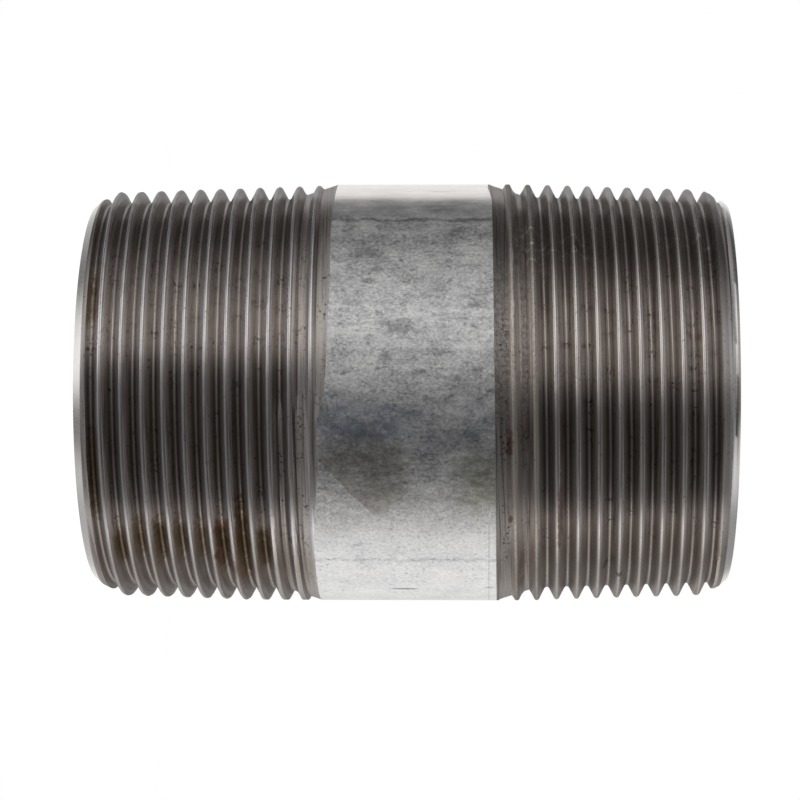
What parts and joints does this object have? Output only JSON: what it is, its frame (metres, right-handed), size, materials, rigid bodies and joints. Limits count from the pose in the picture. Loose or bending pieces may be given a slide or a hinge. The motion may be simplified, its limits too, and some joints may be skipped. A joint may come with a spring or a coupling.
{
  "type": "pipe nipple",
  "caption": "Short galvanised steel tube with a right-hand taper pipe thread cut on each end and a plain zinc-coated band between them.",
  "frame": {"origin": "centre of the lower end face, on the axis of the tube", "axes": "+Z along the axis of the tube, from the lower end face to the upper one"},
  "size_m": [0.0486, 0.0486, 0.073],
  "materials": {
    "galvanised_steel": "dull zinc on the plain band, bare cut steel with an oil film on the threads"
  },
  "bodies": {
    "root": {"pipe_nipple": "galvanised_steel"}
  },
  "joints": []
}
